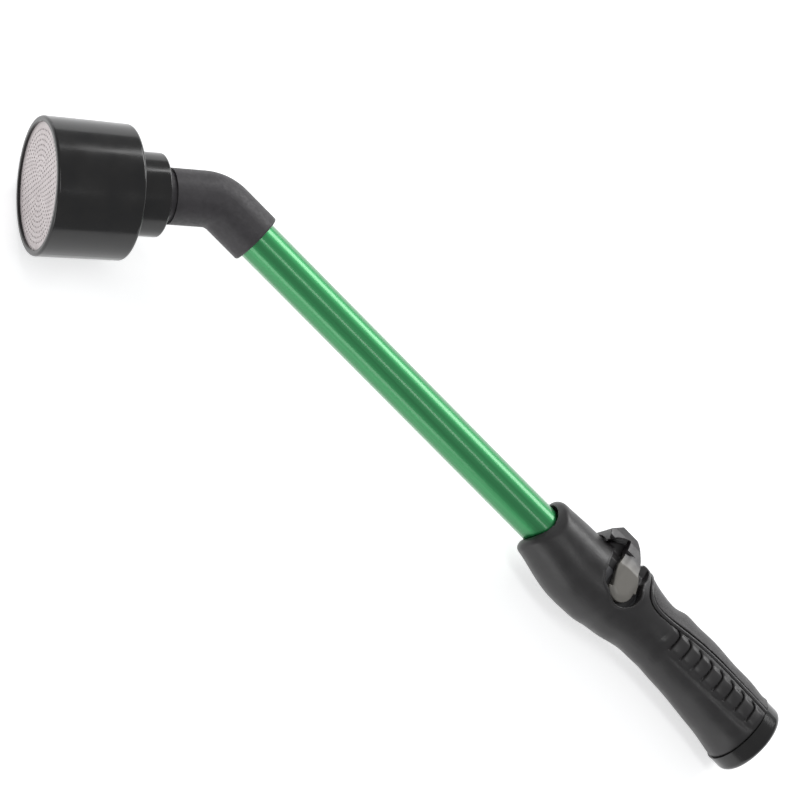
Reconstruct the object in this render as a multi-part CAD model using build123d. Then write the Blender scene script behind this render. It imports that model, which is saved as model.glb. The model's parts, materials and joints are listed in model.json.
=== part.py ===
from build123d import *
import os
from math import cos, hypot, pi, radians, sin, tan

# Watering wand with a thumb-lever valve and a screw-on water breaker, in millimetres.
# The origin is the centre of the hose inlet's mouth. +X runs along the tube towards the head,
# the thumb lever is on the -Y side, the head bends towards +Y, and Z = 0 is the plane of symmetry.
# The pieces are made about the tube's axis, and moved over to the inlet's axis as they are written.

# ---------------------------------------------------------------- overall sizes
handle_length = 145.4       # inlet mouth to the tips of the grip's front
inlet_offset = 1.3          # inlet's axis, on the finger side of the tube's axis
tube_show = 179.0           # bare tube between grip and elbow
elbow_lead = 24.3           # elbow's tube end to the corner of its bend
bend_angle = 43.2
head_reach = 81.2           # corner of the bend to the breaker's rim

# ---------------------------------------------------------------- tube
tube_r = 9.525              # three-quarter inch tube
tube_wall = 1.2

# ---------------------------------------------------------------- hose threads (plain cylinders)
hose_thread_r = 13.6        # root radius of the female garden-hose thread
hose_thread_length = 12.0
thread_clearance = 0.4      # radial room between the breaker's thread and the elbow's
washer_thickness = 3.0
washer_bore_r = 8.0
washer_room = 0.5           # in front of the inlet washer
washer_bite = 0.3           # how far a washer's edge reaches past the thread's root

# ---------------------------------------------------------------- collar and core
collar_r = 18.4
collar_length = 9.4
collar_edge_round = 3.2
skirt_length = 11.0         # part of the collar under the rubber
skirt_r = 15.0
spigot_r = 13.0             # core's rear end, bonded into the skirt
core_r = 12.6
core_bore_r = 9.0
core_setback = 7.0          # core's front end, behind the tips of the grip
tube_insertion = 24.0       # tube inside the core
tube_stop_length = 3.5      # shoulder between front seat and tube

# ---------------------------------------------------------------- valve
pivot_setback = 46.5        # lever's pivot, behind the tips of the grip
lever_swing = 22.0          # degrees from fully open to shut
rotor_r = 8.0
rotor_half = 8.5            # half length of the barrel
running_gap = 0.06
spindle_r = 4.0
spindle_half = 15.6
spindle_flat = 2.9          # half distance across the drive flats
bush_half_outer = 12.0
bush_end_gap = 0.1
o_ring_section_r = 0.85
port_half_width = 1.4
port_half_height = 6.5
seat_depth = 12.0           # rotor axis to the flat back of a seat
retainer_length = 4.0
retainer_bore_r = 6.6

# ---------------------------------------------------------------- lever
lobe_r = 6.4
lobe_forward = 1.2          # lobes' middle, from the pivot to the head
lobe_drop = 0.8             # lobes' middle, from the pivot to the finger side
arm_inner = 12.6            # half distance between the arms
arm_outer = 16.9
hood_inner_r = 23.0         # underside of the hood, from the pivot
lever_gap = 0.7             # room round the lever in the grip
swing_gap = 1.2             # room behind the lever at the end of its swing
hood_inner_half = 9.2       # half distance between the hood's inner faces
hood_shoulder_height = 15.4 # where the arms' inner faces meet the hood's
swing_drop = 2.2            # how far those faces sink as the lever swings back
nose_gap = 1.0              # between the hood's underside and the grip's nose
nose_rear = 2.5             # back of the nose, forward of the pivot
lip_gap = 0.8               # front lip above the grip's surface

# ---------------------------------------------------------------- grip
shoulder_setback = 54.5     # thumb-side shoulder, behind the tips of the grip
mouth_gap = 1.4             # round the tube, in front of the core
mouth_curve_r = 19.0        # fish-mouth front, seen from the lever side
mouth_edge_round = 3.2
insert_depth = 2.2
bead_height = 0.5
rib_count = 8
rib_first = 6.1             # first rib groove, in front of the collar
rib_pitch = 6.86
rib_width = 0.9
rib_depth = 0.9
rib_rise = 5.2              # height of a rib groove above the tube's axis
rib_drop = 4.5
rib_hook = 2.7

# ---------------------------------------------------------------- elbow
elbow_r = 12.3
elbow_bend_r = 15.5
elbow_bore_r = 7.8
elbow_socket = 18.0         # tube inside the elbow
elbow_end_round = 1.0
elbow_tail = 22.4           # corner of the bend to the elbow's shoulder
nipple_relief_r = 11.3
nipple_length = 14.6        # shoulder to the nipple's end
nipple_thread_length = 9.6

# ---------------------------------------------------------------- breaker
neck_start = 27.0           # corner of the bend to the neck's rear edge
neck_r = 18.2
neck_length = 15.4
neck_round = 0.8
shell_rear_r = 29.2
shell_front_r = 29.7
shell_wall = 2.5
shell_rear_round = 1.5
rim_round = 1.1
seat_clearance = 0.05       # along the screw, each side of the head washer
web_bore_r = 9.5
ledge_depth = 3.2           # gasket's ledge, behind the rim
ledge_r = 26.5
counterbore_r = 28.3
gasket_thickness = 0.8
face_r = 27.9
face_thickness = 1.2
window_r = 27.1             # opening of the face ring
window_chamfer = 0.3
face_clearance = 0.05
hole_r = 0.46
hole_rings = 11
hole_pitch = 2.17
holes_per_ring_step = 6
diffuser_r = 24.0
diffuser_thickness = 2.0
diffuser_standoff = 16.0
post_r = 2.2
post_count = 3
post_circle_r = 18.0
diffuser_hole_count = 12
diffuser_hole_r = 1.8
diffuser_hole_circle_r = 20.5
o_ring_groove_half = 1.2    # half width of every seal groove on the tube
seal_setback = 5.0          # first seal, from where the tube's housing begins
seal_spacing = 6.0
lock_ring_gap = 0.1
lock_ring_thickness = 1.0
lock_ring_depth = 2.1       # how far the grab ring stands out from the tube

# ---------------------------------------------------------------- places worked out from them
elbow_x = handle_length + tube_show
bend_x = elbow_x + elbow_lead
pivot_x = handle_length - pivot_setback
core_front_x = handle_length - core_setback
tube_start_x = core_front_x - tube_insertion
front_seat_x = tube_start_x - tube_stop_length
lock_ring_x = tube_start_x + seal_setback + 2 * seal_spacing
core_rear_x = hose_thread_length + washer_thickness + washer_room
skirt_end_x = collar_length + skirt_length
male_thread_r = hose_thread_r - thread_clearance
tube_bore_r = tube_r - tube_wall
head = Pos(bend_x, 0, 0) * Rot(0, 0, bend_angle)
inlet = Pos(0, inlet_offset, 0)
tube_axis_to_origin = Pos(0, -inlet_offset, 0)
shell_rear = neck_start + neck_length
ledge = head_reach - ledge_depth
face_front = ledge + gasket_thickness + face_thickness


# ================================================================ general shapes
def turned(*outline):
    """Solid turned about the X axis from an outline of (x, radius) corners."""
    return revolve(make_face(Polyline(*outline, close=True)), Axis.X)


def ring(start, end, inner_r, outer_r):
    """Plain ring about the X axis."""
    return turned((start, inner_r), (end, inner_r), (end, outer_r), (start, outer_r))


def rod_x(start, end, radius):
    return turned((start, 0), (end, 0), (end, radius), (start, radius))


def rod_z(radius, half_length):
    """Cylinder on the pivot's axis."""
    return Pos(pivot_x, 0, 0) * Cylinder(radius, 2 * half_length)


def o_ring(middle_r, x):
    """Seal ring about the X axis, with its middle at x."""
    return Pos(x, 0, 0) * Rot(0, 90, 0) * Torus(middle_r, o_ring_section_r)


def o_ring_groove(x):
    return ring(x - o_ring_groove_half, x + o_ring_groove_half, tube_r, tube_r + 2 * o_ring_section_r)


def side_region(points, half_width=30.0):
    """Slab through the whole width, from a closed outline in the XY plane."""
    return extrude(make_face(Polyline(*points, close=True)), half_width, both=True)


def from_pivot(forward, up):
    """Point of the XY plane, measured from the pivot: forward to the head, up to the lever side."""
    return (pivot_x + forward, -up)


def cross_region(points, start, end):
    """Slab along X from half an outline of (half width, height) corners, mirrored in Z = 0."""
    outline = [(-up, half) for half, up in points] + [(-up, -half) for half, up in reversed(points)]
    plane = Plane(origin=(start, 0, 0), x_dir=(0, 1, 0), z_dir=(1, 0, 0))
    return extrude(plane * make_face(Polyline(*outline, close=True)), end - start)


# ================================================================ grip
def palm_x(fraction):
    """Place along the palm's stretch, from the collar's front (0) to the shoulder (1)."""
    return collar_length + fraction * (handle_length - shoulder_setback - collar_length)


# Each station is (x, reach on the lever side, reach on the finger side, half width).
grip_stations = [
    (palm_x(0.0), 17.9, 18.8, 18.0),
    (palm_x(0.10), 18.2, 17.7, 17.4),
    (palm_x(0.22), 18.7, 16.4, 16.6),
    (palm_x(0.35), 19.3, 15.3, 16.0),
    (palm_x(0.47), 19.8, 14.4, 15.5),
    (palm_x(0.60), 19.6, 13.9, 15.0),
    (palm_x(0.72), 18.4, 13.7, 14.6),
    (palm_x(0.82), 18.0, 13.9, 14.9),
    (palm_x(0.90), 19.0, 15.2, 15.8),
    (palm_x(0.99), 21.2, 17.0, 17.0),
    (palm_x(1.03), 21.8, 17.5, 17.3),
    (handle_length - 47.0, 19.6, 18.4, 17.6),
    (handle_length - 38.0, 16.6, 19.7, 17.6),
    (handle_length - 29.0, 16.3, 20.0, 17.3),
    (handle_length - 20.0, 15.7, 18.9, 17.0),
    (handle_length - 11.0, 15.3, 16.7, 15.9),
    (handle_length - 5.0, 15.0, 15.3, 15.2),
    (handle_length, 14.4, 15.1, 15.0),
]


def grip_form(outset=0.0):
    """The grip's outer form as a smooth loft, grown or shrunk by outset."""
    sections = []
    for x, lever_reach, finger_reach, half_width in grip_stations:
        shift = (lever_reach - finger_reach) / 2
        plane = Plane(origin=(x, -shift, 0), x_dir=(0, 1, 0), z_dir=(1, 0, 0))
        half_height = (lever_reach + finger_reach) / 2
        sections.append(plane * Ellipse(half_height + outset, half_width + outset))
    return loft(sections)


def panel_region(edge):
    """Everything above a smooth edge line of (x, height) points, on the lever side."""
    line = Spline(*[(x, -up) for x, up in edge])
    top = -32.0
    first = line @ 0
    last = line @ 1
    frame = Polyline((last.X, last.Y), (last.X, top), (first.X, top), (first.X, first.Y))
    return extrude(make_face(line + frame), 30, both=True)


insert_edge = [
    (palm_x(0.0), 8.2), (palm_x(0.22), 9.4), (palm_x(0.47), 9.9), (palm_x(0.66), 8.3),
    (palm_x(0.80), 6.5), (palm_x(0.87), 6.1), (palm_x(0.93), 8.2), (palm_x(0.96), 13.0),
    (palm_x(0.975), 21.5),
]
bead_edge = [
    (palm_x(0.0), 6.0), (palm_x(0.22), 7.1), (palm_x(0.47), 7.5), (palm_x(0.66), 5.9),
    (palm_x(0.80), 4.1), (palm_x(0.88), 3.7), (palm_x(0.95), 5.8), (palm_x(0.985), 11.0),
    (palm_x(1.003), 21.5),
]


def lever_spine(gap, drop):
    """Outline (half width, height) of what stays between the lever's arms, less a gap and a drop."""
    lower_half = arm_inner - gap
    upper_half = hood_inner_half - gap
    return [
        (lower_half, -9), (lower_half, 10.8 - drop), (upper_half, hood_shoulder_height - drop),
        (upper_half, 40),
    ]


def swung_back(forward, up):
    """Where a point of the lever's rear edge ends after the full swing, with room behind it."""
    turn = radians(lever_swing)
    back = forward * cos(turn) - up * sin(turn) - swing_gap
    risen = up * cos(turn) + forward * sin(turn)
    return from_pivot(back, risen)


pocket_front_edge = [(5.0, -6.6), (9.4, -5.2), (12.6, -1.4), (13.6, 5.0), (13.6, 40)]
slot_rear_edge = [(-1.6, 13.2), (-2.2, 17.3), (-4.4, 20.8), (-5.0, 40)]
slot_front = 8.8


def lever_pocket():
    """Room for the lever's arms and lobes in both flanks, over the whole swing."""
    rear = [swung_back(*point) for point in lever_rear_edge]
    outline = [from_pivot(*point) for point in pocket_front_edge]
    outline += [from_pivot(-7.0, 40)] + list(reversed(rear)) + [from_pivot(-lobe_r - lever_gap, 0)]
    lobe_room = rod_z(lobe_r + hypot(lobe_forward, lobe_drop) + lever_gap, 30)
    room = side_region(outline + [from_pivot(0, 0)]) + lobe_room
    spine = cross_region(lever_spine(lever_gap, swing_drop), pivot_x - 40, pivot_x + 40)
    return room - spine


def hood_slot():
    """Gap across the top of the grip, between its nose and its shoulder."""
    outline = [from_pivot(*point) for point in slot_rear_edge]
    floor = slot_rear_edge[0][1]
    return side_region(outline + [from_pivot(slot_front, 40), from_pivot(slot_front, floor)])


def nose():
    """Round rib that stands between the lever's arms and follows the hood's underside."""
    half_width = hood_inner_half - nose_gap
    corners = [(nose_rear, 0), (nose_rear, 40), (40, 40), (40, 0)]
    ahead = side_region([from_pivot(*corner) for corner in corners], half_width)
    return rod_z(hood_inner_r - nose_gap, half_width) & ahead


def rib_grooves():
    """Crescent grooves of both flanks, as thin slabs through the whole width."""
    slabs = []
    for index in range(rib_count):
        x = collar_length + rib_first + index * rib_pitch
        path = Line((x, rib_drop), (x, rib_hook - rib_rise))
        path += TangentArc((x, rib_hook - rib_rise), (x + rib_hook, -rib_rise), tangent=(0, -1))
        outline = trace(path, rib_width)
        slabs.append(extrude(outline, 30, both=True))
    skin = grip_form(0.2) - grip_form(-rib_depth)
    return [slab & skin for slab in slabs]


def grip_sleeve():
    body = grip_form()
    fish_mouth = Pos(handle_length - mouth_curve_r, 0, 0) * Rot(90, 0, 0) * Cylinder(mouth_curve_r, 60)
    rear_part = Pos(handle_length - mouth_curve_r - 100, 0, 0) * Box(200, 60, 60)
    body = body & (fish_mouth + rear_part)
    front_edges = body.edges().filter_by_position(Axis.X, handle_length - 9, handle_length + 1)
    body = fillet(front_edges, mouth_edge_round)
    body = body - hood_slot() + nose()
    body -= rod_x(core_rear_x, core_front_x, core_r)
    body -= skirt_room()
    body -= rod_x(core_front_x - 1, handle_length + 1, tube_r + mouth_gap)
    body -= rod_z(rotor_r + running_gap, arm_inner)
    body -= lever_pocket()
    body -= panel_region(bead_edge) - grip_form(-insert_depth)
    for groove in rib_grooves():
        body -= groove
    return body


def skirt_room():
    return inlet * rod_x(0, skirt_end_x, skirt_r)


def grip_insert():
    panel = (grip_form() - grip_form(-insert_depth)) & panel_region(insert_edge)
    return panel - skirt_room()


def insert_bead():
    band = panel_region(bead_edge) - panel_region(insert_edge)
    return ((grip_form(bead_height) - grip_form(-insert_depth)) & band) - skirt_room()


# ================================================================ handle core and collar
def inlet_collar():
    outer = rod_x(0, collar_length, collar_r)
    outer = fillet(outer.edges().group_by(Axis.X)[0], collar_edge_round)
    outer += rod_x(collar_length, skirt_end_x, skirt_r)
    outer -= rod_x(0, hose_thread_length, hose_thread_r)
    outer -= rod_x(hose_thread_length, core_rear_x, hose_thread_r + washer_bite + 0.2)
    return inlet * (outer - rod_x(core_rear_x, skirt_end_x, spigot_r))


def inlet_washer():
    seat = core_rear_x - washer_thickness
    return inlet * ring(seat, core_rear_x, washer_bore_r, hose_thread_r + washer_bite)


def handle_core():
    body = inlet * rod_x(core_rear_x, skirt_end_x, spigot_r) + rod_x(skirt_end_x, core_front_x, core_r)
    body -= rod_x(core_rear_x, front_seat_x, core_bore_r)
    body -= rod_x(front_seat_x, tube_start_x, tube_bore_r)
    body -= rod_x(tube_start_x, core_front_x, tube_r)
    body -= rod_z(rotor_r + running_gap, 20)
    for x in tube_o_ring_places():
        body -= o_ring_groove(x)
    groove_end = lock_ring_x + lock_ring_thickness + 2 * lock_ring_gap
    return body - ring(lock_ring_x, groove_end, tube_r, tube_r + lock_ring_depth + lock_ring_gap)


def tube_o_ring_places():
    return [tube_start_x + seal_setback, tube_start_x + seal_setback + seal_spacing]


def tube_o_rings():
    return [o_ring(tube_r + o_ring_section_r, x) for x in tube_o_ring_places()]


def tube_lock_ring():
    start = lock_ring_x + lock_ring_gap
    return ring(start, start + lock_ring_thickness, tube_r, tube_r + lock_ring_depth)


# ================================================================ valve
def port(half_width):
    """Slot-shaped waterway along X, through the rotor's middle."""
    slot = Box(60, 2 * half_width, 2 * port_half_height)
    return Pos(pivot_x, 0, 0) * fillet(slot.edges().filter_by(Axis.X), 0.9 * half_width)


def valve_rotor():
    body = rod_z(rotor_r, rotor_half)
    shaft = rod_z(spindle_r, spindle_half)
    for side in (-1, 1):
        far = side * (arm_inner + 10)
        for edge in (-1, 1):
            flat = Box(20, 10, 20)
            shaft -= Pos(pivot_x, edge * (spindle_flat + 5), far) * flat
    return body + shaft - port(port_half_width)


def valve_seat(direction):
    """Saddle against the rotor: direction is +1 for the front seat and -1 for the rear one."""
    flat = pivot_x + direction * seat_depth
    start = min(pivot_x + direction * 4, flat)
    body = rod_x(start, max(pivot_x + direction * 4, flat), core_bore_r)
    return body - rod_z(rotor_r + running_gap, 20) - port(port_half_width)


def seat_retainer():
    flat = pivot_x - seat_depth
    return ring(flat - retainer_length, flat, retainer_bore_r, core_bore_r)


def both_sides(solid_of_side):
    return [solid_of_side(1), solid_of_side(-1)]


def spindle_seal_z():
    return (rotor_half + bush_half_outer) / 2


def spindle_bush(side):
    start = rotor_half + bush_end_gap
    length = bush_half_outer - start
    body = Cylinder(rotor_r + running_gap, length) - Cylinder(spindle_r + running_gap, length)
    body = Pos(pivot_x, 0, side * (start + length / 2)) * body
    groove_r = spindle_r + running_gap + 2 * o_ring_section_r
    groove = Cylinder(groove_r, 2.0) - Cylinder(spindle_r, 2.0)
    return body - Pos(pivot_x, 0, side * spindle_seal_z()) * groove


def spindle_o_ring(side):
    middle = spindle_r + running_gap + o_ring_section_r
    return Pos(pivot_x, 0, side * spindle_seal_z()) * Torus(middle, o_ring_section_r)


# ================================================================ thumb lever
lever_rear_edge = [(-6.1, 2.0), (-4.6, 5.4), (-1.3, 9.2), (-0.8, 12.4), (0.7, 16.3), (3.9, 21.8)]
lever_top_edge = [
    (6.6, 24.7), (9.6, 25.7), (13.6, 25.7), (15.9, 24.4), (21.0, 18.3), (20.6, 16.6), (19.0, 12.0),
]
lever_front_edge = [(12.0, 8.0), (5.4, -3.4)]
arm_front_edge = [(5.4, -3.4), (9.0, 6.5), (8.8, 12.0), (10.2, 26.0), (40.0, 26.0), (40.0, -3.4)]
lever_half_section = [
    (arm_outer, -9), (arm_outer, 8.0), (15.7, 12.0), (12.8, 20.0), (10.6, 24.4), (6.5, 25.6), (0.01, 26.0),
]


def thumb_lever():
    outline = [from_pivot(*p) for p in lever_rear_edge + lever_top_edge + lever_front_edge]
    paddle = side_region(outline) + Pos(lobe_forward, lobe_drop, 0) * rod_z(lobe_r, 30)
    arch = side_region([from_pivot(*p) for p in arm_front_edge]) & rod_z(hood_inner_r, 40)
    paddle -= arch
    paddle &= cross_region(lever_half_section, pivot_x - 20, pivot_x + 40)
    inside = cross_region(lever_spine(0.0, 0.0), pivot_x - 40, pivot_x + 40) & rod_z(hood_inner_r, 40)
    paddle -= inside
    lip_room = Pos(pivot_x + 62, 0, 0) * Box(100, 80, 80)
    paddle -= grip_form(lip_gap) & lip_room
    shaft = rod_z(spindle_r, spindle_half)
    flats = Pos(pivot_x, 0, 0) * Box(20, 2 * spindle_flat, 2 * spindle_half)
    return paddle - (shaft & flats)


# ================================================================ tube and elbow
def tube():
    return ring(tube_start_x, elbow_x + elbow_socket, tube_bore_r, tube_r)


def elbow_path(tail):
    """Centre line of the bend, from the elbow's tube end to a distance past the corner."""
    turn = radians(bend_angle)
    cut = elbow_bend_r * tan(turn / 2)
    entry = (bend_x - cut, 0)
    leave = (bend_x + cut * cos(turn), cut * sin(turn))
    end = (bend_x + tail * cos(turn), tail * sin(turn))
    return Line((elbow_x, 0), entry) + RadiusArc(entry, leave, -elbow_bend_r) + Line(leave, end)


def bent_rod(radius, tail):
    section = Plane(origin=(elbow_x, 0, 0), z_dir=(1, 0, 0)) * Circle(radius)
    return sweep(section, path=elbow_path(tail))


def elbow():
    body = bent_rod(elbow_r, elbow_tail)
    body = fillet(body.edges().group_by(Axis.X)[0], elbow_end_round)
    thread_start = nipple_length - nipple_thread_length
    nipple = turned(
        (elbow_tail - 2, 0), (elbow_tail + nipple_length, 0),
        (elbow_tail + nipple_length, male_thread_r - 1), (elbow_tail + nipple_length - 1, male_thread_r),
        (elbow_tail + thread_start, male_thread_r), (elbow_tail + thread_start, nipple_relief_r),
        (elbow_tail - 2, nipple_relief_r),
    )
    body += head * nipple
    body -= bent_rod(elbow_bore_r, elbow_tail + nipple_length + 1)
    body -= rod_x(elbow_x, elbow_x + elbow_socket, tube_r)
    for x in elbow_o_ring_places():
        body -= o_ring_groove(x)
    return body


def elbow_o_ring_places():
    return [elbow_x + seal_setback, elbow_x + seal_setback + seal_spacing]


def elbow_o_rings():
    return [o_ring(tube_r + o_ring_section_r, x) for x in elbow_o_ring_places()]


# ================================================================ breaker, about its own X axis
def washer_seat():
    """Bottom of the breaker's thread, from the corner of the bend."""
    return elbow_tail + nipple_length + washer_thickness + 2 * seat_clearance


def breaker_shell():
    outer = turned(
        (neck_start, 0), (head_reach, 0), (head_reach, shell_front_r), (shell_rear, shell_rear_r),
        (shell_rear, neck_r), (neck_start, neck_r),
    )
    rear_corner = outer.edges().filter_by(lambda e: abs(e.length - 2 * pi * shell_rear_r) < 0.01)
    outer = fillet(rear_corner, shell_rear_round)
    outer = fillet(outer.edges().filter_by(GeomType.CIRCLE).group_by(Axis.X)[-1], rim_round)
    outer = fillet(outer.edges().filter_by(GeomType.CIRCLE).group_by(Axis.X)[0], neck_round)
    bottom = washer_seat()
    inside = turned(
        (neck_start, 0), (neck_start, hose_thread_r), (bottom, hose_thread_r), (bottom, web_bore_r),
        (shell_rear + shell_wall, web_bore_r), (shell_rear + shell_wall, shell_rear_r - shell_wall),
        (ledge, ledge_r), (ledge, counterbore_r), (head_reach, counterbore_r), (head_reach, 0),
    )
    return outer - inside


def face_gasket():
    return ring(ledge, ledge + gasket_thickness, ledge_r, face_r)


def spray_face():
    disc = Cylinder(face_r, face_thickness)
    holes = [(0, 0)]
    for index in range(1, hole_rings + 1):
        count = holes_per_ring_step * index
        for step in range(count):
            turn = 2 * pi * step / count
            holes.append((index * hole_pitch * cos(turn), index * hole_pitch * sin(turn)))
    drills = extrude(Sketch() + [Pos(x, y) * Circle(hole_r) for x, y in holes], 5, both=True)
    middle = ledge + gasket_thickness + face_thickness / 2
    return Pos(middle, 0, 0) * Rot(0, 90, 0) * (disc - drills)


def face_ring():
    skirt_inner = face_r + face_clearance
    return turned(
        (ledge, skirt_inner), (face_front, skirt_inner), (face_front, window_r),
        (head_reach - window_chamfer, window_r), (head_reach, window_r + window_chamfer),
        (head_reach, counterbore_r),
        (ledge, counterbore_r),
    )


def head_washer():
    start = elbow_tail + nipple_length + seat_clearance
    return ring(start, start + washer_thickness, washer_bore_r, male_thread_r)


def diffuser_disc():
    back = shell_rear + shell_wall
    start = back + diffuser_standoff
    plate = rod_x(start, start + diffuser_thickness, diffuser_r)
    for index in range(diffuser_hole_count):
        drill = Pos(start, diffuser_hole_circle_r, 0) * Rot(0, 90, 0) * Cylinder(diffuser_hole_r, 10)
        plate -= Rot(360 * index / diffuser_hole_count, 0, 0) * drill
    post = Pos(back + diffuser_standoff / 2, post_circle_r, 0) * Rot(0, 90, 0)
    post = post * Cylinder(post_r, diffuser_standoff)
    for index in range(post_count):
        plate += Rot(360 * index / post_count, 0, 0) * post
    return plate


# ================================================================ write every piece
pieces = {
    "inlet_collar": inlet_collar(),
    "inlet_washer": inlet_washer(),
    "handle_core": handle_core(),
    "grip_sleeve": grip_sleeve(),
    "grip_insert": grip_insert(),
    "insert_bead": insert_bead(),
    "seat_retainer": seat_retainer(),
    "valve_seat_rear": valve_seat(-1),
    "valve_seat_front": valve_seat(1),
    "valve_rotor": valve_rotor(),
    "spindle_bushes": both_sides(spindle_bush),
    "spindle_o_rings": both_sides(spindle_o_ring),
    "thumb_lever": thumb_lever(),
    "tube_o_rings": tube_o_rings(),
    "tube_lock_ring": tube_lock_ring(),
    "tube": tube(),
    "elbow": elbow(),
    "elbow_o_rings": elbow_o_rings(),
    "head_washer": head * head_washer(),
    "breaker_shell": head * breaker_shell(),
    "diffuser_disc": head * diffuser_disc(),
    "face_gasket": head * face_gasket(),
    "spray_face": head * spray_face(),
    "face_ring": head * face_ring(),
}

os.makedirs("parts", exist_ok=True)
for node, piece in pieces.items():
    group = piece if isinstance(piece, list) else [piece]
    solids = [tube_axis_to_origin * solid for item in group for solid in item.solids()]
    export_step(solids[0] if len(solids) == 1 else Compound(children=solids), "parts/" + node + ".step")
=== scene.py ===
import bmesh
import bpy
import json
import math
import numpy as np
from mathutils import Matrix, Vector
from mathutils.bvhtree import BVHTree


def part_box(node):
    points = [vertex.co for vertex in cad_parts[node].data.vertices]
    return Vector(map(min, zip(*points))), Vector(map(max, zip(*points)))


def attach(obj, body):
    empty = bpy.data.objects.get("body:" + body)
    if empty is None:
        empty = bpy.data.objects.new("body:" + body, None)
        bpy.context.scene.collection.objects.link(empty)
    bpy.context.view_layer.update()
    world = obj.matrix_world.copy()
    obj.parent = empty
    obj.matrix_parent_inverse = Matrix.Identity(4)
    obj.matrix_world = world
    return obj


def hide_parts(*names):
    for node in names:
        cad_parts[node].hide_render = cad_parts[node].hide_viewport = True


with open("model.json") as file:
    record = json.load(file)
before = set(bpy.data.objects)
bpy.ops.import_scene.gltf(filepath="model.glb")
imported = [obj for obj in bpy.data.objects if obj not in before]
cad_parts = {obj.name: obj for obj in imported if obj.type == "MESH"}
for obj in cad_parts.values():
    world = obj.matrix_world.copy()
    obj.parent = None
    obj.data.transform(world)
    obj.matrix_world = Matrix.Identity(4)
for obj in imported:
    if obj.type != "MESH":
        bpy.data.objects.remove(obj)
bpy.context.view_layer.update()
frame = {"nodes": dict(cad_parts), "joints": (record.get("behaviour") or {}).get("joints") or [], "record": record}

# Everything is in metres, in the frame of the CAD model: +X along the tube towards the head,
# -Y to the thumb lever, +Z to the side the camera looks from.
MM = 0.001
nodes = frame["nodes"]
joints = {joint["name"]: joint for joint in frame["joints"]}
mounts = {mount["name"]: mount for mount in frame["record"]["mounts"]}


# ================================================================ places read from the frame
tube_lo, tube_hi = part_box("tube")
tube_axis_y = (tube_lo.y + tube_hi.y) / 2
pivot = Vector(joints["lever_turn"]["pos_m"])
bend = Vector(joints["breaker_turn"]["pos_m"])
head_axis = Vector(mounts["spray_outlet"]["axis"]).normalized()
collar_lo, collar_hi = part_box("inlet_collar")
collar_r = (collar_hi.z - collar_lo.z) / 2
shell_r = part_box("breaker_shell")[1].z
head_reach = (Vector(mounts["spray_outlet"]["pos_m"]) - bend).length


# ================================================================ general helpers
def link(obj):
    bpy.context.scene.collection.objects.link(obj)
    return obj


def smoothstep(low, high, value):
    """0 at low, 1 at high, eased at both ends; works on numbers and on arrays."""
    t = np.clip((value - low) / (high - low), 0.0, 1.0)
    return t * t * (3 - 2 * t)


def read_points(obj):
    """Places and normals of an object's vertices, as two arrays."""
    count = len(obj.data.vertices)
    places = np.empty(count * 3, np.float32)
    normals = np.empty(count * 3, np.float32)
    obj.data.vertices.foreach_get("co", places)
    obj.data.vertex_normals.foreach_get("vector", normals)
    return places.reshape(-1, 3).astype(float), normals.reshape(-1, 3).astype(float)


def write_points(obj, places):
    obj.data.vertices.foreach_set("co", places.astype(np.float32).ravel())
    obj.data.update()


def mesh_object(name, vertices, faces):
    mesh = bpy.data.meshes.new(name)
    mesh.from_pydata(vertices, [], faces)
    mesh.update()
    return link(bpy.data.objects.new(name, mesh))


def apply_modifiers(obj):
    graph = bpy.context.evaluated_depsgraph_get()
    baked = bpy.data.meshes.new_from_object(obj.evaluated_get(graph), depsgraph=graph)
    obj.modifiers.clear()
    obj.data = baked


def copy_of(node, name):
    """A free copy of a CAD node, for mesh work."""
    obj = bpy.data.objects.new(name, nodes[node].data.copy())
    obj.data.materials.clear()
    return link(obj)


def remesh(obj, voxel_mm, smooth_steps, smooth_share=0.5):
    """Even quads in place of the CAD triangles, then edges softened as in a moulding."""
    voxels = obj.modifiers.new("voxels", "REMESH")
    voxels.mode = "VOXEL"
    voxels.voxel_size = voxel_mm * MM
    voxels.use_smooth_shade = True
    if smooth_steps:
        soften = obj.modifiers.new("soften", "SMOOTH")
        soften.factor = smooth_share
        soften.iterations = smooth_steps
    apply_modifiers(obj)


def shade_smooth(obj, angle=180):
    mesh = obj.data
    mesh.polygons.foreach_set("use_smooth", [True] * len(mesh.polygons))
    if angle < 180:
        bm = bmesh.new()
        bm.from_mesh(mesh)
        limit = math.radians(angle)
        for edge in bm.edges:
            edge.smooth = len(edge.link_faces) == 2 and edge.calc_face_angle(0.0) < limit
        bm.to_mesh(mesh)
        bm.free()
    mesh.update()


def tree_of(obj):
    mesh = obj.data
    return BVHTree.FromPolygons([v.co for v in mesh.vertices], [p.vertices for p in mesh.polygons])


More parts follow.
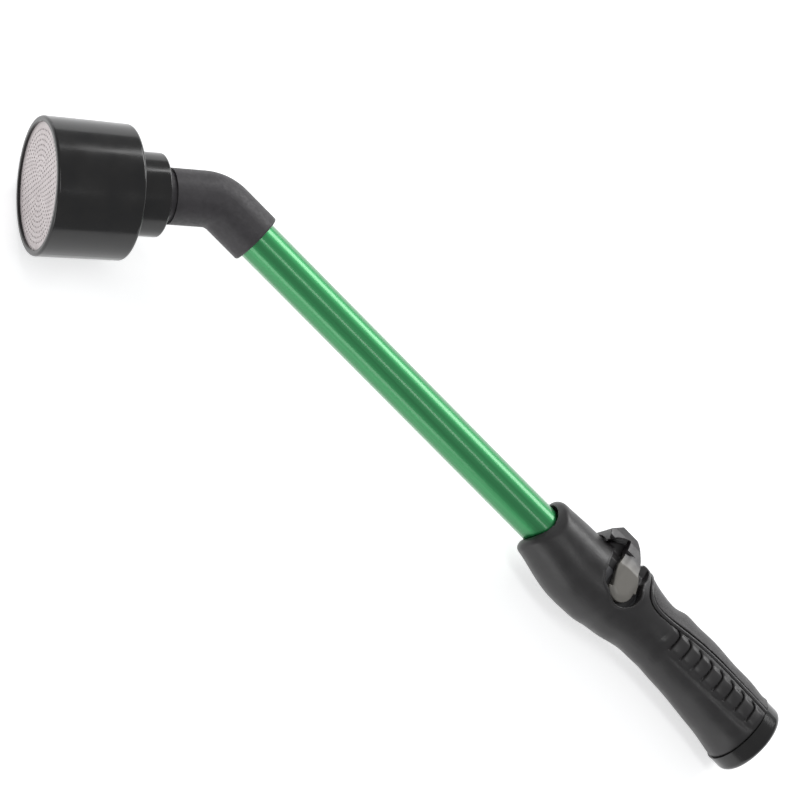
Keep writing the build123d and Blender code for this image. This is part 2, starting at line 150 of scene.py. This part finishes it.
# ================================================================ materials
class Maker:
    """A Principled material that is built up node by node."""

    def __init__(self, name, color, roughness, metallic=0.0):
        self.material = bpy.data.materials.new(name)
        self.material.use_nodes = True
        self.tree = self.material.node_tree
        self.shader = self.tree.nodes["Principled BSDF"]
        self.shader.inputs["Base Color"].default_value = (*color, 1.0)
        self.shader.inputs["Roughness"].default_value = roughness
        self.shader.inputs["Metallic"].default_value = metallic
        self.place = self.tree.nodes.new("ShaderNodeTexCoord").outputs["Object"]
        self.height = None

    def node(self, kind, **settings):
        made = self.tree.nodes.new(kind)
        for key, value in settings.items():
            if key in made.inputs:
                made.inputs[key].default_value = value
            else:
                setattr(made, key, value)
        return made

    def wire(self, source, target):
        self.tree.links.new(source, target)

    def stretched(self, scale):
        """Texture coordinates stretched along the axes, so that a grain runs one way."""
        mapping = self.node("ShaderNodeMapping")
        mapping.inputs["Scale"].default_value = scale
        self.wire(self.place, mapping.inputs["Vector"])
        return mapping.outputs["Vector"]

    def noise(self, size_mm, detail=3.0, vector=None):
        """Noise whose blotches are about size_mm across."""
        made = self.node("ShaderNodeTexNoise", Scale=1000.0 / size_mm, Detail=detail)
        self.wire(vector or self.place, made.inputs["Vector"])
        return made.outputs["Fac"]

    def cells(self, size_mm):
        made = self.node("ShaderNodeTexVoronoi", Scale=1000.0 / size_mm)
        self.wire(self.place, made.inputs["Vector"])
        return made.outputs["Distance"]

    def spread(self, source, low, high, from_low=0.3, from_high=0.7):
        made = self.tree.nodes.new("ShaderNodeMapRange")
        made.inputs["From Min"].default_value = from_low
        made.inputs["From Max"].default_value = from_high
        made.inputs["To Min"].default_value = low
        made.inputs["To Max"].default_value = high
        self.wire(source, made.inputs["Value"])
        return made.outputs["Result"]

    def rough_from(self, source, low, high):
        self.wire(self.spread(source, low, high), self.shader.inputs["Roughness"])

    def color_from(self, source, first, second, low=0.3, high=0.7):
        ramp = self.node("ShaderNodeValToRGB")
        ramp.color_ramp.elements[0].position = low
        ramp.color_ramp.elements[0].color = (*first, 1.0)
        ramp.color_ramp.elements[1].position = high
        ramp.color_ramp.elements[1].color = (*second, 1.0)
        self.wire(source, ramp.inputs["Fac"])
        self.wire(ramp.outputs["Color"], self.shader.inputs["Base Color"])

    def bump(self, source, depth_mm, strength=1.0):
        """Adds one layer of relief on top of those already there."""
        made = self.tree.nodes.new("ShaderNodeBump")
        made.inputs["Distance"].default_value = depth_mm * MM
        made.inputs["Strength"].default_value = strength
        self.wire(source, made.inputs["Height"])
        if self.height:
            self.wire(self.height, made.inputs["Normal"])
        self.height = made.outputs["Normal"]
        self.wire(self.height, self.shader.inputs["Normal"])

def gloss_black():
    """Polished black moulding with handling smudges and hairline scratches."""
    made = Maker("gloss_black", (0.0085, 0.008, 0.008), 0.16)
    made.rough_from(made.noise(14), 0.12, 0.22)
    made.color_from(made.noise(9), (0.0075, 0.0072, 0.0075), (0.0125, 0.0115, 0.011))
    made.bump(made.noise(22, 1.0), 0.06)
    made.bump(made.noise(0.5, 2.0, made.stretched((0.15, 1.0, 1.0))), 0.0015)
    return made.material


def elbow_plastic():
    """Matt glass-filled moulding with a fine spark-eroded grain."""
    made = Maker("elbow_plastic", (0.034, 0.031, 0.034), 0.55)
    made.color_from(made.noise(3.5, 4.0), (0.029, 0.026, 0.029), (0.040, 0.036, 0.040))
    made.rough_from(made.noise(1.4), 0.46, 0.62)
    made.bump(made.noise(0.32, 3.0), 0.02)
    made.bump(made.cells(0.7), 0.008)
    return made.material


def grip_rubber():
    """Satin overmoulded rubber, polished a little by the hand."""
    made = Maker("grip_rubber", (0.024, 0.023, 0.0235), 0.40)
    made.color_from(made.noise(12, 4.0), (0.017, 0.0155, 0.016), (0.025, 0.0235, 0.024))
    made.rough_from(made.noise(6, 4.0), 0.32, 0.46)
    made.bump(made.noise(0.38, 2.0), 0.012)
    made.bump(made.noise(9, 1.0), 0.05)
    return made.material


def grip_panel():
    """Softer rubber with a fine pebbled skin."""
    made = Maker("grip_panel", (0.045, 0.043, 0.044), 0.45)
    made.color_from(made.cells(0.75), (0.048, 0.045, 0.046), (0.022, 0.020, 0.021), 0.1, 0.75)
    made.rough_from(made.noise(4), 0.38, 0.52)
    made.bump(made.cells(0.75), 0.10, 0.8)
    return made.material


def bead_rubber():
    made = Maker("bead_rubber", (0.034, 0.032, 0.033), 0.30)
    made.rough_from(made.noise(5), 0.24, 0.36)
    made.bump(made.noise(0.5, 2.0), 0.006)
    return made.material


def lever_plastic():
    """Satin moulding: dark hood, and paler polished lobes round the pivot."""
    made = Maker("lever_plastic", (0.09, 0.085, 0.087), 0.38, 0.0)
    split = made.tree.nodes.new("ShaderNodeSeparateXYZ")
    made.wire(made.place, split.inputs["Vector"])
    height = made.spread(split.outputs["Y"], 1.0, 0.0, pivot.y - 14.5 * MM, pivot.y - 8.0 * MM)
    grain = made.spread(made.noise(2.5, 4.0), -0.06, 0.06)
    mixed = made.node("ShaderNodeMath", operation="ADD")
    made.wire(height, mixed.inputs[0])
    made.wire(grain, mixed.inputs[1])
    made.color_from(mixed.outputs[0], (0.185, 0.175, 0.158), (0.030, 0.027, 0.029), 0.1, 0.95)
    made.rough_from(made.noise(3.0), 0.28, 0.40)
    made.bump(made.noise(0.3, 2.0), 0.008)
    return made.material


def green_tube():
    """Green anodised aluminium under a clear seal, with the drawing lines of the tube."""
    made = Maker("green_tube", (0.030, 0.26, 0.085), 0.46, 1.0)
    streaks = made.noise(0.8, 4.0, made.stretched((0.012, 1.0, 1.0)))
    made.color_from(streaks, (0.026, 0.235, 0.075), (0.036, 0.285, 0.096))
    made.rough_from(made.noise(1.1, 4.0, made.stretched((0.02, 1.0, 1.0))), 0.40, 0.52)
    made.bump(streaks, 0.004)
    made.shader.inputs["Coat Weight"].default_value = 1.0
    made.shader.inputs["Coat Roughness"].default_value = 0.17
    return made.material


def face_metal():
    """Perforated sheet with a soft brushed skin and a few water marks."""
    made = Maker("face_metal", (0.57, 0.515, 0.515), 0.40, 0.35)
    made.color_from(made.noise(7, 5.0), (0.53, 0.475, 0.475), (0.61, 0.555, 0.555))
    made.rough_from(made.noise(2.5, 4.0), 0.34, 0.50)
    made.bump(made.noise(0.35, 2.0, made.stretched((1.0, 1.0, 0.08))), 0.004)
    return made.material


def black_rubber():
    made = Maker("black_rubber", (0.018, 0.017, 0.018), 0.65)
    made.rough_from(made.noise(1.2, 4.0), 0.55, 0.75)
    made.bump(made.noise(0.25, 3.0), 0.01)
    return made.material


def inner_plastic():
    made = Maker("inner_plastic", (0.045, 0.045, 0.05), 0.5)
    made.color_from(made.noise(4, 4.0), (0.038, 0.038, 0.043), (0.054, 0.054, 0.058))
    made.rough_from(made.noise(1.0), 0.42, 0.58)
    made.bump(made.noise(0.3, 3.0), 0.012)
    return made.material


def seat_plastic():
    made = Maker("seat_plastic", (0.030, 0.029, 0.030), 0.42)
    made.color_from(made.noise(3, 4.0), (0.026, 0.025, 0.026), (0.034, 0.033, 0.034))
    made.rough_from(made.noise(1.0), 0.26, 0.38)
    made.bump(made.noise(0.4, 2.0), 0.004)
    return made.material


def rotor_metal():
    made = Maker("rotor_metal", (0.72, 0.52, 0.24), 0.28, 1.0)
    made.color_from(made.noise(2, 5.0), (0.66, 0.47, 0.20), (0.78, 0.58, 0.30))
    made.rough_from(made.noise(0.8), 0.20, 0.36)
    made.bump(made.noise(0.12, 2.0, made.stretched((1.0, 1.0, 6.0))), 0.004)
    return made.material


def lock_ring_metal():
    made = Maker("lock_ring_metal", (0.60, 0.60, 0.60), 0.30, 1.0)
    made.color_from(made.noise(1.5, 4.0), (0.54, 0.54, 0.54), (0.66, 0.66, 0.65))
    made.rough_from(made.noise(0.5, 4.0), 0.24, 0.42)
    made.bump(made.noise(0.1, 2.0), 0.002)
    return made.material


def floor_paper():
    made = Maker("floor_paper", (0.92, 0.92, 0.92), 0.9)
    made.color_from(made.noise(60, 3.0), (0.915, 0.915, 0.915), (0.925, 0.925, 0.925))
    made.shader.inputs["Emission Color"].default_value = (1.0, 1.0, 1.0, 1.0)
    made.shader.inputs["Emission Strength"].default_value = 0.55
    return made.material


finishes = {
    "gloss_black": gloss_black(), "black_rubber": black_rubber(), "inner_plastic": inner_plastic(),
    "grip_rubber": grip_rubber(), "grip_panel": grip_panel(), "seat_plastic": seat_plastic(),
    "rotor_metal": rotor_metal(), "lever_plastic": lever_plastic(),
    "lock_ring_metal": lock_ring_metal(), "green_tube": green_tube(),
    "elbow_plastic": elbow_plastic(), "face_metal": face_metal(),
}
slot_of = {part["node"]: part["material_slot"] for part in frame["record"]["subparts"]}


sharp_from = 28                     # degrees between two faces that still shade as one curve


def dress_cad_nodes():
    """Every CAD node gets its finish, and smooth shading that keeps its sharp edges."""
    for name, obj in nodes.items():
        obj.data.materials.clear()
        obj.data.materials.append(finishes[slot_of[name]])
        shade_smooth_node(obj)


def shade_smooth_node(obj):
    mesh = obj.data
    mesh.polygons.foreach_set("use_smooth", [True] * len(mesh.polygons))
    split = obj.modifiers.new("split", "EDGE_SPLIT")
    split.split_angle = math.radians(sharp_from)


def finish_piece(obj, slot, body, *stands_for, material=None):
    obj.data.materials.clear()
    obj.data.materials.append(material or finishes[slot])
    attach(obj, body)
    if stands_for:
        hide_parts(*stands_for)
    return obj


# ================================================================ camera, floor and light
camera_place = Vector((0.4267, 0.4801, 0.9523))
view_right = Vector((-0.6928, -0.5774, 0.4320)).normalized()
view_back = Vector((0.1821, 0.4396, 0.8795)).normalized()


def add_camera():
    data = bpy.data.cameras.new("camera")
    data.lens = 110.25
    data.sensor_width = 36.0
    data.clip_start = 0.05
    data.clip_end = 20.0
    camera = link(bpy.data.objects.new("camera", data))
    up = view_back.cross(view_right).normalized()
    right = up.cross(view_back)
    turned = Matrix((right, up, view_back)).transposed().to_4x4()
    camera.matrix_world = Matrix.Translation(camera_place) @ turned
    bpy.context.scene.camera = camera


floor_half = 6.0
floor_gap = 0.4 * MM                # between the collar's edge and the floor


def floor_slope():
    """Slope along X of the plane that the lying wand touches: collar's edge and breaker's rim."""
    rim_x = (bend + head_axis * head_reach).x
    return (shell_r - collar_r) / (rim_x - collar_lo.x)


def add_floor():
    slope = floor_slope()
    rise = math.atan(slope)
    half = floor_half
    corners = [(-half, -half, 0), (half, -half, 0), (half, half, 0), (-half, half, 0)]
    plane = mesh_object("floor", corners, [(0, 1, 2, 3)])
    plane.rotation_euler = (0, rise, 0)
    plane.location = (collar_lo.x, 0, -collar_r - floor_gap)
    plane.data.materials.append(floor_paper())


def add_panel_light(name, place, target, width, height, power):
    data = bpy.data.lights.new(name, "AREA")
    data.shape = "RECTANGLE"
    data.size = width
    data.size_y = height
    data.energy = power
    light = link(bpy.data.objects.new(name, data))
    light.location = place
    aim = Vector(target) - Vector(place)
    light.rotation_euler = aim.to_track_quat("-Z", "Y").to_euler()
    return light


def add_lights():
    world = bpy.data.worlds.new("studio")
    world.use_nodes = True
    background = world.node_tree.nodes["Background"]
    background.inputs["Color"].default_value = (0.96, 0.98, 1.0, 1.0)
    background.inputs["Strength"].default_value = 0.42
    bpy.context.scene.world = world
    middle = (0.22, 0.02, 0.0)
    add_panel_light("key", (0.15, -1.35, 0.75), middle, 1.4, 0.55, 15)
    add_panel_light("fill", (0.45, 1.35, 0.25), middle, 1.2, 0.4, 4)
    add_panel_light("top", (0.25, 0.15, 1.5), middle, 1.2, 0.20, 3.2)


# ================================================================ grip
rib_count = 8
rib_pitch = 6.86 * MM
rib_first_x = 15.6 * MM             # upright part of the rib nearest the inlet
rib_top = 5.2 * MM                  # height of a rib above the tube's axis, to the lever side
rib_foot = 4.6 * MM                 # how far a rib reaches to the finger side
rib_hook = 2.7 * MM                 # radius of the hook at a rib's top
rib_depth = 0.75 * MM
rib_groove_half = 0.45 * MM
scale_height = 0.6 * MM             # swell of the rubber between two ribs
flank_from = 10.5 * MM              # the flanks' skin lies further out than this, to either side
pocket_r = 8.95 * MM                # arc of the lever's pocket, about the pivot
# Front edge of the pocket: (forward of the pivot, height above the tube's axis), in millimetres.
pocket_front = [(9.7, -5.6), (13.0, -1.6), (14.05, 5.0), (14.05, 13.0)]
lip_height = 0.4 * MM
lip_half = 0.55 * MM


def rib_line_x(up):
    """How far forward a rib's line lies at a height, hooked over to the head at its top."""
    rise = np.clip((up - rib_top + rib_hook) / rib_hook, 0.0, 1.0)
    hook = rib_hook * (1 - np.sqrt(1 - rise * rise))
    return hook + 0.12 * np.maximum(-up, 0.0)


def rib_relief(x, up):
    """Height of the ribbed flank over the plain form: swells that each end in a thin groove."""
    place = (x - rib_first_x - rib_line_x(up)) / rib_pitch
    share = place - np.floor(place)
    across = smoothstep(rib_top, rib_top - 2.2 * MM, up)
    across *= smoothstep(-rib_foot - 2.0 * MM, -rib_foot + 1.5 * MM, up)
    ends = smoothstep(-0.95, -0.6, place) * smoothstep(rib_count - 0.05, rib_count - 0.4, place)
    swell = scale_height * np.sin(np.pi * share) ** 0.8 * (0.6 + 0.5 * share)
    nearest = np.minimum(share, 1 - share)
    on_rib = (place > -0.5) & (place < rib_count - 0.5)
    depth = smoothstep(rib_top + 0.05 * MM, rib_top - 0.5 * MM, up)
    depth = depth * smoothstep(-rib_foot - 0.5 * MM, -rib_foot + 2.5 * MM, up)
    groove_half = rib_groove_half / rib_pitch
    groove = rib_depth * smoothstep(groove_half, groove_half * 0.35, nearest) * depth * on_rib
    return swell * across * ends - groove


def valley_relief(x, up):
    """Long soft scoop under the ribs."""
    along = smoothstep(8 * MM, 16 * MM, x) * smoothstep(70 * MM, 56 * MM, x)
    return -0.5 * MM * np.exp(-((up + 5.6 * MM) / (1.7 * MM)) ** 2) * along


def on_flanks(places, normals):
    """1 for the outer skin of both flanks, and 0 elsewhere."""
    return (np.abs(places[:, 2]) > flank_from) & (normals[:, 2] * np.sign(places[:, 2]) > 0.35)


def carve_flanks(obj):
    """Ribs, the scoop under them, and the thin moulded lip round the lever's pockets."""
    places, normals = read_points(obj)
    x = places[:, 0]
    up = tube_axis_y - places[:, 1]
    relief = rib_relief(x, up) + valley_relief(x, up)
    near = distance_to_line(x, up, pocket_outline())
    relief += lip_height * np.exp(-(near / lip_half) ** 2)
    relief *= on_flanks(places, normals)
    write_points(obj, places + relief[:, None] * normals)


def pocket_outline():
    """Edge of the lever's pocket as (x, height) corners: an arc, then its front edge."""
    outline = []
    for step in range(19):
        turn = math.radians(-215 + step * 9)
        outline.append((pivot.x + pocket_r * math.cos(turn), pocket_r * math.sin(turn)))
    for forward, up in pocket_front:
        outline.append((pivot.x + forward * MM, up * MM))
    return outline


def distance_to_line(x, up, outline):
    """Distance of every place to a line of (x, height) corners."""
    nearest = np.full(len(x), 1.0)
    for (x0, up0), (x1, up1) in zip(outline, outline[1:]):
        length2 = (x1 - x0) ** 2 + (up1 - up0) ** 2
        share = np.clip(((x - x0) * (x1 - x0) + (up - up0) * (up1 - up0)) / length2, 0.0, 1.0)
        gap = np.hypot(x - x0 - share * (x1 - x0), up - up0 - share * (up1 - up0))
        nearest = np.minimum(nearest, gap)
    return nearest


def skin_of(node, name, voxel_mm, smooth_steps):
    obj = copy_of(node, name)
    remesh(obj, voxel_mm, smooth_steps)
    return obj


# Centre line of the bead round the grip's panel, on one side of it:
# (x in millimetres, degrees round the tube's axis from the lever side).
bead_path = [
    (9.6, 68.0), (20, 64.5), (32, 61.5), (44, 60.5), (55, 61.5), (65, 65.5), (74, 70.5), (80, 72.5),
    (84.5, 70), (87.3, 62), (88.6, 50), (89.4, 34), (89.8, 17), (89.9, 0),
]
bead_r = 0.95 * MM
bead_sink = 0.75 * MM               # how far its centre line lies under the surface


def build_bead():
    """Round bead, laid in its channel from one side of the collar to the other."""
    tree = tree_of(nodes["insert_bead"])
    sleeve_tree = tree_of(nodes["grip_sleeve"])
    points = []
    whole = bead_path + [(x, -turn) for x, turn in reversed(bead_path[:-1])]
    for x, turn in whole:
        angle = math.radians(turn)
        outward = Vector((0, -math.cos(angle), math.sin(angle)))
        start = Vector((x * MM, tube_axis_y, 0)) + 60 * MM * outward
        hits = [t.ray_cast(start, -outward)[0] for t in (tree, sleeve_tree)]
        hits = [hit for hit in hits if hit is not None]
        top = max(hits, key=lambda hit: (hit - Vector((hit.x, tube_axis_y, 0))).length)
        points.append(top - bead_sink * outward)
    curve = bpy.data.curves.new("panel_bead", "CURVE")
    curve.dimensions = "3D"
    curve.resolution_u = 6
    curve.bevel_depth = bead_r
    curve.bevel_resolution = 4
    curve.use_fill_caps = True
    spline = curve.splines.new("NURBS")
    spline.points.add(len(points) - 1)
    for point, place in zip(spline.points, points):
        point.co = (*place, 1.0)
    spline.order_u = 4
    spline.use_endpoint_u = True
    obj = link(bpy.data.objects.new("panel_bead", curve))
    return finish_piece(obj, "grip_rubber", "wand", "insert_bead", material=bead_rubber())


def build_grip():
    sleeve = skin_of("grip_sleeve", "grip_sleeve_skin", 0.34, 6)
    carve_flanks(sleeve)
    finish_piece(sleeve, "grip_rubber", "wand", "grip_sleeve")
    panel = skin_of("grip_insert", "grip_insert_skin", 0.34, 14)
    finish_piece(panel, "grip_panel", "wand", "grip_insert")
    build_bead()


lobe_r = 6.4 * MM
lobe_dome = 1.4 * MM                # how far the dome's edge lies behind its middle
lobe_forward = 1.2 * MM             # middle of the lobes, from the pivot to the head
lobe_drop = 0.8 * MM                # and from the pivot to the finger side
lobe_outer = 14.5 * MM              # only the skin further out than this is domed


def build_lever():
    lever = skin_of("thumb_lever", "thumb_lever_skin", 0.22, 12)
    dome_lobes(lever)
    finish_piece(lever, "lever_plastic", "lever", "thumb_lever")


def dome_lobes(obj):
    """The lobes over the pivot are slightly domed, with a rounded edge."""
    places, normals = read_points(obj)
    below = np.minimum(tube_axis_y - places[:, 1], -lobe_drop)
    far = np.hypot(places[:, 0] - pivot.x - lobe_forward, below + lobe_drop)
    edge = smoothstep(lobe_r * 0.25, lobe_r * 1.05, far)
    outer = np.abs(places[:, 2]) > lobe_outer
    places[:, 2] -= np.sign(places[:, 2]) * lobe_dome * edge * edge * outer
    write_points(obj, places)


# ================================================================ hose threads
thread_pitch = 25.4 / 11.5 * MM
steps_per_turn = 64
ridge_root = 0.05 * MM              # how far the ridge is let into the bore's wall
ridge_rise = 1.0 * MM               # how far it stands in from the bore
run_out = 24                        # steps in which the ridge rises from nothing


def thread_ridge(name, root_r, crest_r, length):
    """Helical ridge about the X axis: trapezoid section, tapering to nothing at both ends."""
    turns = length / thread_pitch - 1.2
    count = int(turns * steps_per_turn)
    vertices = []
    faces = []
    for step in range(count + 1):
        turn = 2 * math.pi * step / steps_per_turn
        fade = smoothstep(0, run_out, step) * smoothstep(count, count - run_out, step)
        crest = root_r + (crest_r - root_r) * fade
        middle = 0.6 * thread_pitch + thread_pitch * step / steps_per_turn
        for offset, radius in ((-0.42, root_r), (-0.12, crest), (0.12, crest), (0.42, root_r)):
            across = (radius * math.cos(turn), radius * math.sin(turn))
            vertices.append((middle + offset * thread_pitch, *across))
    for step in range(count):
        for side in range(4):
            a = step * 4 + side
            b = step * 4 + (side + 1) % 4
            faces.append((a, b, b + 4, a + 4))
    faces.append((0, 1, 2, 3))
    last = count * 4
    faces.append((last + 3, last + 2, last + 1, last))
    obj = mesh_object(name, vertices, faces)
    bm = bmesh.new()
    bm.from_mesh(obj.data)
    bmesh.ops.recalc_face_normals(bm, faces=bm.faces)
    bm.to_mesh(obj.data)
    bm.free()
    shade_smooth(obj, 30)
    return obj


def build_threads():
    inlet = mounts["hose_inlet"]
    bore_r = inlet["dims"]["r_mm"] * MM
    depth = inlet["dims"]["length_mm"] * MM
    ridge = thread_ridge("inlet_thread", bore_r + ridge_root, bore_r - ridge_rise, depth)
    finish_piece(ridge, "gloss_black", "wand")


# ================================================================ build
bpy.context.scene.view_settings.view_transform = "Standard"
add_camera()
add_floor()
add_lights()
dress_cad_nodes()
build_grip()
build_lever()
build_threads()
